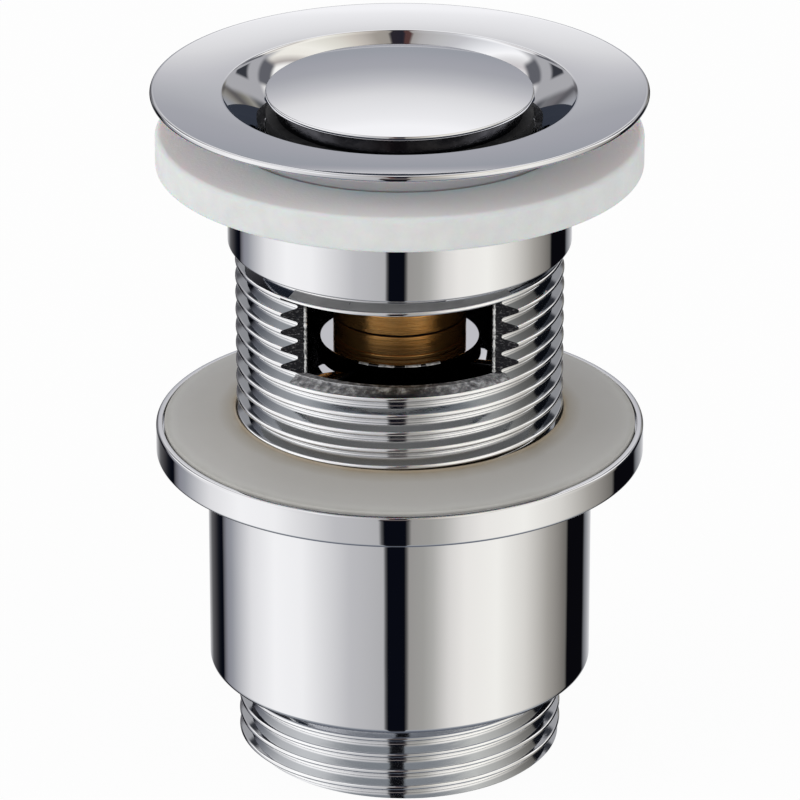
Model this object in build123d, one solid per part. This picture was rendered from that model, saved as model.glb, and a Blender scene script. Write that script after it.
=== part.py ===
from build123d import *
from math import radians, sin
import os

# Pop up basin waste with overflow slots, in millimetres, standing on its tail.
# The origin is the centre of the tail's lower end face, and +Z points up to the plug.
# The plug is modelled closed.

# Fits
turning_gap = 0.06
loose_gap = 0.15
rubber_gap = 0.2
seat_gap = 0.12

# Round of a thin turned edge, as a share of its thickness
edge_round_share = 0.44

# Pipe thread G 1 1/4, which the tail and the slotted tube share
thread_radius = 20.955
thread_depth = 1.479

# Clamp sleeve: a cup with a flanged rim above and the trap's thread below
tail_length = 11.2
tail_wall = 1.676
tail_chamfer = 0.6
tail_relief_height = 1.2
cup_wall = 3.685
cup_height = 29.55
cup_floor = 3.3
cup_edge_round = 0.8
rim_inset = 0.15
rim_height = 3.7
rim_wall = 0.85
rim_web = 1.6
rim_round = 0.7
rim_root_round = 0.35
rim_top_round = 0.5

# Rubber gasket in the rim, on a slip ring
slip_ring_thickness = 0.5
gasket_edge_height = 1.25
gasket_rise = 2.1
gasket_edge_round = 0.4
gasket_land = 3.2
gasket_crown_share = 0.54

# Waste body: slotted tube, collar, flange and seat in one casting
screw_room = 7.5
tube_thread_length = 46.4
tube_wall = 0.776
tube_chamfer = 0.7
tube_relief_height = 1.0
collar_step = 0.895
collar_chamfer = 0.3
flange_radius = 31.45
flange_edge = 0.95
flange_dish = 0.76
flange_root_depth = 1.68
flange_root_round = 0.6
mouth_height = 19.88
mouth_flare = 0.53
seat_inset = 4.85
seat_depth = 4.6
seat_bow = 0.45
throat_step = 0.6
throat_length = 2.4
throat_taper = 2.3

# Overflow slots, milled straight across the front and the back of the tube
slot_height = 10.2
slot_below_thread_top = 1.2
slot_face_offset = 14.7

# Cast spider that carries the click cartridge
hub_margin = 1.9
hub_below_slot = 0.9
hub_height = 4.9
hub_round = 0.3
arm_count = 3
arm_width = 5.0
arm_drop = 1.35
arm_azimuth = -17.0
arm_round = 0.6

# Foam washer on the collar
foam_inset = 0.59
foam_thickness = 4.5
foam_below_mouth = 5.08
foam_round = 0.7

# Click cartridge
hub_washer_thickness = 0.55
cartridge_radius = 8.5
base_height = 2.55
spigot_height = 2.3
stud_radius = 4.0
stud_below_hub = 4.2
hub_nut_height = 3.4
hub_nut_width = 12.0
nut_chamfer_share = 0.6
barrel_wall = 1.6
barrel_chamfer = 0.35
press_room = 1.48
gland_height = 3.2
ring_thickness = 1.2
clip_thickness = 0.8
clip_bite = 0.5
clip_reach = 0.8
clip_opening = 50.0
plunger_radius = 4.2
plunger_flat_depth = 0.5
plunger_wall = 1.3
plunger_foot = 0.8
plunger_neck_step = 0.3
plunger_crown = 2.6

# Index sleeve, turned by two balls in a zigzag track
plug_lift = 9.0
track_peaks = 4
ball_radius = 0.95
ball_count = 2
ball_height = 1.1
ball_stand_out = 0.14
track_gap = 0.08
axial_play = 0.1

# Return spring
spring_wire_radius = 0.35
spring_side_gap = 0.25
spring_open_coils = 6
spring_pocket = 1.4

# Plug
plug_inset = 0.05
plug_above_mouth = 0.15
dome_rise = 1.8
lip_thickness = 1.0
lip_overhang = 1.35
plug_wall = 1.3
boss_wall = 2.3
plug_seal_thickness = 1.8
seal_plate_inset = 2.8
seal_plate_thickness = 1.2
seal_plate_round = 0.4
plug_nut_height = 2.4
plug_nut_width = 13.0

# Radii that follow from the sizes above
thread_root = thread_radius - thread_depth
tail_bore_radius = thread_root - tail_wall
sleeve_bore_radius = thread_radius + turning_gap
cup_radius = sleeve_bore_radius + cup_wall
rim_radius = flange_radius - rim_inset
gasket_radius = rim_radius - rim_wall - rubber_gap
tube_bore_radius = thread_root - tube_wall
collar_radius = thread_radius + collar_step
mouth_radius = collar_radius + mouth_flare
seat_radius = collar_radius - seat_inset
throat_radius = seat_radius - throat_step
foam_radius = flange_radius - foam_inset
hub_radius = cartridge_radius + hub_margin
barrel_bore_radius = cartridge_radius - barrel_wall
inner_fit_radius = barrel_bore_radius - turning_gap
plunger_neck_radius = plunger_radius - plunger_neck_step
plunger_guide_radius = plunger_radius + turning_gap
neck_hole_radius = plunger_neck_radius + turning_gap
stud_hole_radius = stud_radius + turning_gap
spring_bore_radius = plunger_radius - plunger_wall
spring_radius = spring_bore_radius - spring_wire_radius - spring_side_gap
ball_centre_radius = plunger_radius + ball_stand_out
plug_radius = seat_radius - plug_inset
skirt_radius = plug_radius - lip_overhang
boss_radius = plunger_neck_radius + boss_wall
seal_plate_radius = skirt_radius - seal_plate_inset

# Heights that follow
cup_floor_z = tail_length + cup_floor
cup_top = tail_length + cup_height
rim_top = cup_top + rim_height
rim_floor_z = cup_top + rim_web
gasket_bottom = rim_floor_z + slip_ring_thickness
tube_end = cup_floor_z + screw_room
tube_thread_top = tube_end + tube_thread_length
slot_top = tube_thread_top - slot_below_thread_top
slot_bottom = slot_top - slot_height
collar_bottom = tube_thread_top + tube_relief_height
mouth = collar_bottom + mouth_height
flange_root = mouth - flange_root_depth
flange_top = mouth + flange_dish
seat_z = mouth - seat_depth
plug_rim = mouth + plug_above_mouth
skirt_bottom = seat_z + plug_seal_thickness
seal_plate_bottom = seat_z - seal_plate_thickness
plunger_shoulder = seal_plate_bottom - plug_nut_height
hub_top = slot_bottom - hub_below_slot
hub_bottom = hub_top - hub_height
base_bottom = hub_top + hub_washer_thickness
barrel_bottom = base_bottom + base_height
spigot_top = barrel_bottom + spigot_height
barrel_top = plunger_shoulder - press_room
clip_z = barrel_top - clip_thickness - clip_bite
gland_bottom = clip_z - gland_height
ring_bottom = gland_bottom + (gland_height - ring_thickness) / 2
index_bottom = spigot_top + axial_play
index_top = gland_bottom - axial_play
plunger_bottom = index_bottom + plunger_foot
ball_z = plunger_bottom + ball_height
spring_low = spigot_top - spring_pocket
spring_high = plunger_shoulder - plunger_crown

# Turn of the index sleeve for one stroke of the plug, in degrees
track_step = 180 / track_peaks


def nearest_corner(section, radius, height):
    """The corner of a section that lies at a radius and height."""
    corner = Vector(radius, 0, height)
    return min(section.vertices(), key=lambda v: (Vector(v.X, v.Y, v.Z) - corner).length)


def turned(outline, rounds=()):
    """Revolve a closed outline of (radius, height) points, with some corners rounded first."""
    section = make_face(Polyline(*[(radius, 0, height) for radius, height in outline], close=True)).face()
    for (radius, height), size in rounds:
        section = section.fillet_2d(size, [nearest_corner(section, radius, height)])
    return revolve(section, Axis.Z)


def drum(radius, low, high):
    """A plain cylinder between two heights."""
    return Pos(0, 0, (low + high) / 2) * Cylinder(radius, high - low)


def washer(inner, outer, low, high):
    """A flat ring between two heights."""
    return turned([(inner, low), (outer, low), (outer, high), (inner, high)])


def hexagon_nut(width, bore, low, high):
    """A hexagon nut with its corners turned down on both faces."""
    corner = width / 3 ** 0.5
    drop = (corner - width / 2) * nut_chamfer_share
    blank = Pos(0, 0, low) * extrude(RegularPolygon(corner, 6), high - low)
    envelope = turned([
        (0, low), (width / 2, low), (corner, low + drop),
        (corner, high - drop), (width / 2, high), (0, high)])
    return (blank & envelope) - drum(bore, low, high)


def clamp_sleeve():
    """Cup, rim and tail: one turned piece that screws up the tube from below."""
    inner_rim = rim_radius - rim_wall
    return turned(
        [
            (tail_bore_radius, 0),
            (thread_radius - tail_chamfer, 0),
            (thread_radius, tail_chamfer),
            (thread_radius, tail_length - tail_relief_height),
            (thread_root, tail_length - tail_relief_height),
            (thread_root, tail_length),
            (cup_radius, tail_length),
            (cup_radius, cup_top),
            (rim_radius, cup_top),
            (rim_radius, rim_top),
            (inner_rim, rim_top),
            (inner_rim, rim_floor_z),
            (sleeve_bore_radius, rim_floor_z),
            (sleeve_bore_radius, cup_floor_z),
            (tail_bore_radius, cup_floor_z),
        ],
        rounds=[
            ((cup_radius, tail_length), cup_edge_round),
            ((cup_radius, cup_top), rim_root_round),
            ((rim_radius, cup_top), rim_round),
            ((rim_radius, rim_top), rim_top_round),
        ],
    )


def slip_ring():
    """Flat ring that lets the sleeve turn under the gasket."""
    return washer(sleeve_bore_radius + rubber_gap, gasket_radius, rim_floor_z, gasket_bottom)


def clamp_gasket():
    """Rubber gasket: a low crowned cone from the rim up to the thread."""
    inner = thread_radius + rubber_gap
    edge_top = gasket_bottom + gasket_edge_height
    top = edge_top + gasket_rise
    sides = Polyline(
        (gasket_radius, 0, edge_top),
        (gasket_radius, 0, gasket_bottom),
        (inner, 0, gasket_bottom),
        (inner, 0, top))
    crown = ThreePointArc(
        (inner, 0, top),
        (gasket_radius - gasket_land, 0, edge_top + gasket_rise * gasket_crown_share),
        (gasket_radius, 0, edge_top))
    section = make_face(sides + crown).face()
    edge = nearest_corner(section, gasket_radius, edge_top)
    return revolve(section.fillet_2d(gasket_edge_round, [edge]), Axis.Z)


def seat_bowl():
    """The bowed seat, from the flange's mouth down to the throat."""
    run = mouth_radius - seat_radius
    length = (run ** 2 + seat_depth ** 2) ** 0.5
    middle_radius = (mouth_radius + seat_radius) / 2 + seat_bow * seat_depth / length
    middle_z = (mouth + seat_z) / 2 - seat_bow * run / length
    return ThreePointArc((mouth_radius, 0, mouth), (middle_radius, 0, middle_z), (seat_radius, 0, seat_z))


def waste_casting():
    """The turned shape of the body: tube, collar, flange, bowed seat and throat."""
    throat_bottom = seat_z - throat_length
    outline = Polyline(
        (seat_radius, 0, seat_z),
        (throat_radius, 0, seat_z - throat_step),
        (throat_radius, 0, throat_bottom),
        (tube_bore_radius, 0, throat_bottom - throat_taper),
        (tube_bore_radius, 0, tube_end),
        (thread_radius - tube_chamfer, 0, tube_end),
        (thread_radius, 0, tube_end + tube_chamfer),
        (thread_radius, 0, tube_thread_top),
        (thread_root, 0, tube_thread_top),
        (thread_root, 0, collar_bottom),
        (collar_radius - collar_chamfer, 0, collar_bottom),
        (collar_radius, 0, collar_bottom + collar_chamfer),
        (collar_radius, 0, flange_root),
        (flange_radius, 0, flange_top - flange_edge),
        (flange_radius, 0, flange_top),
        (mouth_radius, 0, mouth))
    section = make_face(outline + seat_bowl()).face()
    rounds = [
        (collar_radius, flange_root, flange_root_round),
        (flange_radius, flange_top - flange_edge, flange_edge * edge_round_share),
        (flange_radius, flange_top, flange_edge * edge_round_share)]
    for radius, height, size in rounds:
        section = section.fillet_2d(size, [nearest_corner(section, radius, height)])
    return revolve(section, Axis.Z)


def spider():
    """Hub and three arms that bridge the tube just under the slots."""
    hub = turned(
        [(0, hub_bottom), (hub_radius, hub_bottom), (hub_radius, hub_top), (0, hub_top)],
        rounds=[((hub_radius, hub_bottom), arm_round), ((hub_radius, hub_top), hub_round)])
    reach = (tube_bore_radius + thread_root) / 2
    arm_height = hub_height - arm_drop
    arm = Pos(reach / 2, 0, hub_bottom + arm_height / 2) * Box(reach, arm_width, arm_height)
    arm = fillet(arm.edges().filter_by(Axis.X), arm_round)
    for turn in range(arm_count):
        hub += Rot(0, 0, arm_azimuth + 360 / arm_count * turn) * arm
    return hub - drum(stud_hole_radius, hub_bottom, hub_top)


def waste_body():
    """The casting with its spider and two milled overflow slots."""
    body = waste_casting() + spider()
    depth = flange_radius - slot_face_offset
    for side in (-1, 1):
        cut = Box(2 * flange_radius, depth, slot_height)
        body -= Pos(0, side * (slot_face_offset + depth / 2), (slot_bottom + slot_top) / 2) * cut
    return body


def basin_seal():
    """Foam washer that slides on the collar and seals on top of the basin."""
    inner = collar_radius + loose_gap
    top = mouth - foam_below_mouth
    low = top - foam_thickness
    return turned(
        [(inner, low), (foam_radius, low), (foam_radius, top), (inner, top)],
        rounds=[((foam_radius, low), foam_round), ((foam_radius, top), foam_round)])


def hub_washer():
    """Thin washer between the cartridge and the hub."""
    return washer(stud_hole_radius, cartridge_radius, hub_top, base_bottom)


def hub_nut():
    """Nut on the stud, under the hub."""
    return hexagon_nut(hub_nut_width, stud_hole_radius, hub_bottom - hub_nut_height, hub_bottom)


def barrel_base():
    """Base of the cartridge: stud through the hub, flange, spigot and spring pocket."""
    stud_end = hub_bottom - stud_below_hub
    return turned([
        (0, stud_end),
        (stud_radius - barrel_chamfer, stud_end),
        (stud_radius, stud_end + barrel_chamfer),
        (stud_radius, base_bottom),
        (cartridge_radius, base_bottom),
        (cartridge_radius, barrel_bottom),
        (inner_fit_radius, barrel_bottom),
        (inner_fit_radius, spigot_top),
        (spring_bore_radius, spigot_top),
        (spring_bore_radius, spring_low),
        (0, spring_low)])


def barrel():
    """Brass tube of the cartridge, with a groove for the clip at its top."""
    return turned([
        (barrel_bore_radius, barrel_bottom),
        (cartridge_radius - barrel_chamfer, barrel_bottom),
        (cartridge_radius, barrel_bottom + barrel_chamfer),
        (cartridge_radius, barrel_top - barrel_chamfer),
        (cartridge_radius - barrel_chamfer, barrel_top),
        (barrel_bore_radius, barrel_top),
        (barrel_bore_radius, clip_z + clip_thickness),
        (barrel_bore_radius + clip_bite, clip_z + clip_thickness),
        (barrel_bore_radius + clip_bite, clip_z),
        (barrel_bore_radius, clip_z)])


def plunger_bar(low, high, gap=0.0):
    """Round bar with two flats, as the plunger has and its guide is cut."""
    radius = plunger_radius + gap
    flats = Box(2 * radius, 2 * (radius - plunger_flat_depth), high - low)
    return drum(radius, low, high) & (Pos(0, 0, (low + high) / 2) * flats)


def gland():
    """Guide bush in the barrel's mouth, with flats that keep the plunger from turning."""
    bush = drum(inner_fit_radius, gland_bottom, clip_z) - plunger_bar(gland_bottom, clip_z, turning_gap)
    return bush - drum(plunger_radius + ring_thickness, ring_bottom, ring_bottom + ring_thickness)


def gland_ring():
    """Square rubber ring that wipes the plunger inside the gland."""
    outer = plunger_radius + ring_thickness - turning_gap
    return washer(plunger_guide_radius, outer, ring_bottom, ring_bottom + ring_thickness)


def retaining_clip():
    """Open spring clip that holds the gland down."""
    outer = barrel_bore_radius + clip_bite - turning_gap
    ring = washer(barrel_bore_radius - clip_reach, outer, clip_z, clip_z + clip_thickness)
    opening = Box(outer, 2 * outer * sin(radians(clip_opening / 2)), clip_thickness)
    return ring - Pos(outer / 2, 0, clip_z + clip_thickness / 2) * opening


def at_balls(angle, height):
    """The place of a ball's centre, at an angle round the axis."""
    return Rot(0, 0, angle) * Pos(ball_centre_radius, 0, height)


def index_balls():
    """Two steel balls in the plunger's foot."""
    pair = Part()
    for turn in range(ball_count):
        pair += at_balls(360 / ball_count * turn, ball_z) * Sphere(ball_radius)
    return pair


def plunger():
    """Sliding rod of the cartridge: hollow for the spring, threaded above for the plug."""
    foot_top = ball_z + ball_height
    rod = drum(plunger_radius, plunger_bottom, foot_top)
    rod += plunger_bar(foot_top, plunger_shoulder)
    rod += drum(plunger_neck_radius, plunger_shoulder, skirt_bottom - turning_gap)
    rod -= drum(spring_bore_radius, plunger_bottom, spring_high)
    for turn in range(ball_count):
        rod -= at_balls(360 / ball_count * turn, ball_z) * Sphere(ball_radius + turning_gap / 2)
    return rod


def track_leg(direction, angle):
    """One leg of the zigzag: a round groove along a steep helix inside the index sleeve."""
    groove = ball_radius + track_gap
    pitch = plug_lift * 360 / track_step
    line = Helix(pitch, plug_lift, ball_centre_radius, lefthand=direction < 0)
    leg = sweep(Plane(line @ 0, z_dir=line % 0) * Circle(groove), path=line)
    leg += Pos(ball_centre_radius, 0, 0) * Sphere(groove)
    return Pos(0, 0, ball_z) * Rot(0, 0, angle) * leg


def index_sleeve():
    """Sleeve that turns one step for each stroke of the plug."""
    sleeve = washer(plunger_guide_radius, inner_fit_radius, index_bottom, index_top)
    for peak in range(track_peaks):
        valley_angle = 2 * track_step * peak
        sleeve -= track_leg(-1, valley_angle)
        sleeve -= track_leg(1, valley_angle)
        sleeve -= at_balls(valley_angle + track_step, ball_z + plug_lift) * Sphere(ball_radius + track_gap)
    return sleeve


def spring_half_turn(side, low, rise):
    """Half a coil, from one side of the axis round to the other, as a tilted arc."""
    start = Plane(origin=(side * spring_radius, 0, low), z_dir=(0, side, 0))
    tilted = Axis((0, 0, low + rise / 2), (side * rise, 0, 2 * spring_radius))
    return revolve(start * Circle(spring_wire_radius), tilted, revolution_arc=180)


def return_spring():
    """Compression spring inside the plunger, with one closed coil at each end."""
    closed_rise = spring_wire_radius + turning_gap / 2
    length = spring_high - spring_low - 2 * spring_wire_radius
    open_rise = (length - 4 * closed_rise) / (2 * spring_open_coils)
    closed_coil = [closed_rise, closed_rise]
    height = spring_low + spring_wire_radius
    side = 1
    coil = Part()
    for rise in closed_coil + [open_rise, open_rise] * spring_open_coils + closed_coil:
        coil += spring_half_turn(side, height, rise)
        height += rise
        side = -side
    return coil


def plug_dome():
    """The plug's domed top, from its crown to its rim."""
    crown = plug_rim + dome_rise
    dome_radius = (plug_radius ** 2 + dome_rise ** 2) / (2 * dome_rise)
    middle = plug_radius / 2
    middle_z = crown - dome_radius + (dome_radius ** 2 - middle ** 2) ** 0.5
    return ThreePointArc((0, 0, crown), (middle, 0, middle_z), (plug_radius, 0, plug_rim))


def plug_cap():
    """Chrome plug: domed disc with a thin lip, a skirt and a threaded boss."""
    lip_bottom = plug_rim - lip_thickness
    skirt_bore_radius = skirt_radius - plug_wall
    ceiling_middle = plug_rim + dome_rise / 2 - plug_wall
    outline = Polyline(
        (plug_radius, 0, plug_rim),
        (plug_radius, 0, lip_bottom),
        (skirt_radius, 0, lip_bottom),
        (skirt_radius, 0, skirt_bottom),
        (skirt_bore_radius, 0, skirt_bottom),
        (skirt_bore_radius, 0, plug_rim + dome_rise / 2 - 2 * plug_wall),
        (boss_radius, 0, ceiling_middle),
        (boss_radius, 0, seat_z),
        (neck_hole_radius, 0, seat_z),
        (neck_hole_radius, 0, skirt_bottom),
        (0, 0, skirt_bottom),
        (0, 0, plug_rim + dome_rise))
    section = make_face(outline + plug_dome()).face()
    for height in (lip_bottom, plug_rim):
        corner = nearest_corner(section, plug_radius, height)
        section = section.fillet_2d(lip_thickness * edge_round_share, [corner])
    return revolve(section, Axis.Z)


def plug_seal():
    """Flat rubber ring under the plug, which closes on the seat."""
    return washer(boss_radius + turning_gap, seat_radius - seat_gap, seat_z, skirt_bottom)


def seal_plate():
    """Washer that holds the rubber ring against the skirt."""
    return turned(
        [(neck_hole_radius, seal_plate_bottom), (seal_plate_radius, seal_plate_bottom),
         (seal_plate_radius, seat_z), (neck_hole_radius, seat_z)],
        rounds=[((seal_plate_radius, seal_plate_bottom), seal_plate_round)])


def plug_nut():
    """Lock nut that fixes the plug on the plunger."""
    return hexagon_nut(plug_nut_width, neck_hole_radius, plunger_shoulder, seal_plate_bottom)


pieces = [
    waste_body, basin_seal, clamp_sleeve, slip_ring, clamp_gasket,
    hub_washer, hub_nut, barrel_base, barrel, gland, gland_ring, retaining_clip,
    return_spring, index_sleeve, plunger, index_balls,
    plug_cap, plug_seal, seal_plate, plug_nut]

os.makedirs("parts", exist_ok=True)
for piece in pieces:
    export_step(piece(), f"parts/{piece.__name__}.step")
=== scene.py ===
import bpy
from math import atan2, cos, hypot, pi, radians, sin, tan
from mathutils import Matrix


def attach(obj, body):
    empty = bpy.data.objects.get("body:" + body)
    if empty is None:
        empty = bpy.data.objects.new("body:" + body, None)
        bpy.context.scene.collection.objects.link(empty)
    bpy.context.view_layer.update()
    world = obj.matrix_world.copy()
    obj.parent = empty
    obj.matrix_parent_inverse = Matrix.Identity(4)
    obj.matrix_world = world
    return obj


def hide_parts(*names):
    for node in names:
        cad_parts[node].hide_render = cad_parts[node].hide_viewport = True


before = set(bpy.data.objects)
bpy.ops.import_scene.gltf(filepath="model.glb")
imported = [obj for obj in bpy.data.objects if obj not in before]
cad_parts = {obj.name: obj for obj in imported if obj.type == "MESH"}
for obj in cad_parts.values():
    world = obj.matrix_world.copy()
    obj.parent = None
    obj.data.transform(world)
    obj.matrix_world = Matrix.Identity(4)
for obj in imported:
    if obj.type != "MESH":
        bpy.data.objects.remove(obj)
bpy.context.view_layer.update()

MM = 0.001

# Points this close, in metres, are one point, and an edge this short is none
SAME_POINT = 1e-6
NO_EDGE = 1e-7

# Rounds: longest step along an arc, and the gap in millimetres to the loop beside it
ROUND_STEP = radians(12)
LOOP_GAP = 0.1

# Pipe thread G 1 1/4: radii, pitch and the round of crest and root in millimetres, and the
# angle in degrees from the middle of a round to the flank
CREST = 20.955
ROOT = 19.476
PITCH = 2.309
THREAD_ROUND = 0.317
FLANK = 62.5
THREAD_STEPS = 128

# How far a rod is cut too long, and the radius that its wall is drawn to past the crests
THREAD_SPARE = 0.4
BLANK = 21.3

# Radii and heights that pieces share, in millimetres
TUBE_BORE = 18.7
TUBE_TOP = 68.4
SLOT_FACE = 14.7
SLOT_LOW = 57.0
SLOT_HIGH = 67.2
THROAT = 16.4
COLLAR = 21.85
FLANGE = 31.45
FOAM_TOP = 84.2
HUB_BORE = 4.06
HUB_LOW = 51.2
HUB_TOP = 56.1
CARTRIDGE = 8.5
WASHER_TOP = 56.65
BARREL_LOW = 59.2
TAIL_BORE = 17.8
CUP_LOW = 11.2

# How far joined pieces of one casting run into each other
OVERLAP = 0.02

# A face this close to a plane lies on it, and a normal past this share points straight
ON_PLANE = 0.02
STRAIGHT = 0.99


def srgb(*values):
    """Colour from 0 to 255, as a screen shows it, in linear light."""
    linear = []
    for value in values:
        share = value / 255
        linear.append(share / 12.92 if share <= 0.04045 else ((share + 0.055) / 1.055) ** 2.4)
    return tuple(linear)


# Outlines: lists of (radius, height) in millimetres

def rounded(corners):
    """Closed outline whose corners may carry a round as a third number.

    Where there is room, a loop lies close to each end of a round.
    """
    points = []
    count = len(corners)
    for i, corner in enumerate(corners):
        radius = corner[2] if len(corner) > 2 else 0
        if not radius:
            points.append(corner[:2])
            continue
        x, y = corner[:2]
        before, after = corners[i - 1], corners[(i + 1) % count]
        a = (before[0] - x, before[1] - y)
        b = (after[0] - x, after[1] - y)
        la, lb = hypot(*a), hypot(*b)
        a = (a[0] / la, a[1] / la)
        b = (b[0] / lb, b[1] / lb)
        bend = atan2(a[0] * b[1] - a[1] * b[0], a[0] * b[0] + a[1] * b[1])
        reach = radius / tan(abs(bend) / 2)
        bisector = (a[0] + b[0], a[1] + b[1])
        long = hypot(*bisector)
        middle = radius / sin(abs(bend) / 2)
        cx, cy = x + bisector[0] / long * middle, y + bisector[1] / long * middle
        start = (x + a[0] * reach, y + a[1] * reach)
        end = (x + b[0] * reach, y + b[1] * reach)
        angle = atan2(start[1] - cy, start[0] - cx)
        sweep = atan2(end[1] - cy, end[0] - cx) - angle
        sweep = (sweep + pi) % (2 * pi) - pi
        steps = max(4, round(abs(sweep) / ROUND_STEP))
        if la > 3 * reach:
            points.append((start[0] + a[0] * LOOP_GAP, start[1] + a[1] * LOOP_GAP))
        for k in range(steps + 1):
            t = angle + sweep * k / steps
            points.append((cx + radius * cos(t), cy + radius * sin(t)))
        if lb > 3 * reach:
            points.append((end[0] + b[0] * LOOP_GAP, end[1] + b[1] * LOOP_GAP))
    return points


def bowed(start, end, bow, steps=24):
    """Points of a shallow arc between two ends, bowed to its right by so many millimetres."""
    dx, dy = end[0] - start[0], end[1] - start[1]
    long = hypot(dx, dy)
    points = []
    for k in range(1, steps):
        t = k / steps
        out = 4 * bow * t * (1 - t)
        points.append((start[0] + dx * t + dy / long * out, start[1] + dy * t - dx / long * out))
    return points


# Mesh tools

def draw(name, points, closed=True):
    """Draws an outline in the XZ plane, vertex by vertex."""
    bpy.ops.object.select_all(action="DESELECT")
    first = points[0]
    bpy.ops.mesh.primitive_plane_add(size=MM, location=(first[0] * MM, 0, first[1] * MM))
    piece = bpy.context.object
    piece.name = name
    bpy.ops.object.mode_set(mode="EDIT")
    bpy.ops.mesh.select_all(action="SELECT")
    bpy.ops.mesh.merge(type="CENTER")
    at = first
    for point in points[1:] + (points[:1] if closed else []):
        step = ((point[0] - at[0]) * MM, 0, (point[1] - at[1]) * MM)
        bpy.ops.mesh.extrude_vertices_move(TRANSFORM_OT_translate={"value": step})
        at = point
    return piece


def close_mesh(piece):
    """Merges doubles, points the faces outwards and leaves edit mode."""
    bpy.ops.mesh.select_all(action="SELECT")
    bpy.ops.mesh.remove_doubles(threshold=SAME_POINT)
    bpy.ops.mesh.dissolve_degenerate(threshold=NO_EDGE)
    bpy.ops.mesh.select_all(action="SELECT")
    bpy.ops.mesh.normals_make_consistent(inside=False)
    bpy.ops.object.mode_set(mode="OBJECT")
    place(piece)


def select_only(piece):
    bpy.ops.object.select_all(action="DESELECT")
    piece.select_set(True)
    bpy.context.view_layer.objects.active = piece


def place(piece):
    """Puts the object's place into its mesh."""
    select_only(piece)
    bpy.ops.object.transform_apply(location=True, rotation=True, scale=True)


def turn(name, points, steps=192):
    """Closed outline spun round the axis."""
    piece = draw(name, points)
    bpy.ops.mesh.select_all(action="SELECT")
    bpy.ops.mesh.spin(steps=steps, angle=2 * pi, center=(0, 0, 0), axis=(0, 0, 1))
    close_mesh(piece)
    return piece


def cut(piece, tool, operation="DIFFERENCE"):
    """Boolean of two pieces; the tool goes."""
    select_only(piece)
    bpy.ops.object.modifier_add(type="BOOLEAN")
    boolean = piece.modifiers[-1]
    boolean.operation = operation
    boolean.solver = "EXACT"
    boolean.object = tool
    bpy.ops.object.modifier_apply(modifier=boolean.name)
    bpy.data.objects.remove(tool)


def block(name, low, high):
    """Box between two corners, in millimetres."""
    bpy.ops.object.select_all(action="DESELECT")
    centre = [(a + b) / 2 * MM for a, b in zip(low, high)]
    bpy.ops.mesh.primitive_cube_add(size=1, location=centre)
    piece = bpy.context.object
    piece.name = name
    bpy.ops.object.mode_set(mode="EDIT")
    bpy.ops.mesh.select_all(action="SELECT")
    size = [(b - a) * MM for a, b in zip(low, high)]
    bpy.ops.transform.resize(value=size, center_override=centre)
    bpy.ops.object.mode_set(mode="OBJECT")
    place(piece)
    return piece


def dress(piece, material, body, slot, *nodes):
    """Shading, finish and body of a piece, and the CAD nodes it stands for; the record slot is not
    used.
    """
    select_only(piece)
    bpy.ops.object.shade_smooth_by_angle(angle=radians(30))
    piece.data.materials.clear()
    piece.data.materials.append(material)
    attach(piece, body)
    if nodes:
        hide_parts(*nodes)


def paint_faces(piece, material, chosen):
    """Second finish for the faces that a test of radius, centre and normal chooses, in mm."""
    piece.data.materials.append(material)
    index = len(piece.data.materials) - 1
    for face in piece.data.polygons:
        centre = [c / MM for c in face.center]
        if chosen(hypot(centre[0], centre[1]), centre, face.normal):
            face.material_index = index


def thread_profile():
    """One turn of a pipe thread with round crest and roots, from root to root."""
    crest_centre = CREST - THREAD_ROUND
    root_centre = ROOT + THREAD_ROUND
    root = []
    for k in range(4):
        a = radians(FLANK * k / 3)
        root.append((root_centre - THREAD_ROUND * cos(a), -PITCH / 2 + THREAD_ROUND * sin(a)))
    crest = [(crest_centre + THREAD_ROUND * cos(radians(a)), THREAD_ROUND * sin(radians(a)))
             for a in (-FLANK, -FLANK * 2 / 3, -FLANK / 3, 0)]
    start = root[-1]
    flank = (crest[0][0] - start[0], crest[0][1] - start[1])
    loops = [(start[0] + flank[0] * t, start[1] + flank[1] * t) for t in (0.08, 0.92)]
    half = root + loops + crest
    return half + [(r, -z) for r, z in reversed(half[:-1])]


def thread_rod(name, crest_z, low, high):
    """Solid threaded rod with a crest at the given height, a little longer than asked."""
    start = crest_z
    while start > low - 1.5 * PITCH:
        start -= PITCH
    turns = int((high - start) / PITCH) + 3
    piece = draw(name, [(r, z + start) for r, z in thread_profile()], closed=False)
    bpy.ops.object.mode_set(mode="OBJECT")
    place(piece)
    bpy.ops.object.modifier_add(type="SCREW")
    screw = piece.modifiers[-1]
    screw.axis = "Z"
    screw.angle = 2 * pi
    screw.screw_offset = PITCH * MM
    screw.iterations = turns
    screw.steps = THREAD_STEPS
    screw.render_steps = THREAD_STEPS
    bpy.ops.object.modifier_apply(modifier=screw.name)
    bpy.ops.object.mode_set(mode="EDIT")
    bpy.ops.mesh.select_all(action="SELECT")
    bpy.ops.mesh.remove_doubles(threshold=SAME_POINT)
    for height, side in ((low, -1), (high, 1)):
        end = (0, 0, (height + side * THREAD_SPARE) * MM)
        bpy.ops.mesh.select_all(action="SELECT")
        bpy.ops.mesh.bisect(plane_co=end, plane_no=(0, 0, side), use_fill=True, clear_outer=True)
    close_mesh(piece)
    return piece


# Node tools

def new_material(name):
    material = bpy.data.materials.new(name)
    material.use_nodes = True
    tree = material.node_tree
    shader = tree.nodes["Principled BSDF"]
    return material, tree, shader


def math_node(tree, operation, a, b=None):
    """One step of arithmetic on numbers or sockets."""
    node = tree.nodes.new("ShaderNodeMath")
    node.operation = operation
    for socket, value in zip(node.inputs, (a, b)):
        if value is None:
            continue
        if isinstance(value, (int, float)):
            socket.default_value = value
        else:
            tree.links.new(value, socket)
    return node.outputs[0]


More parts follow.
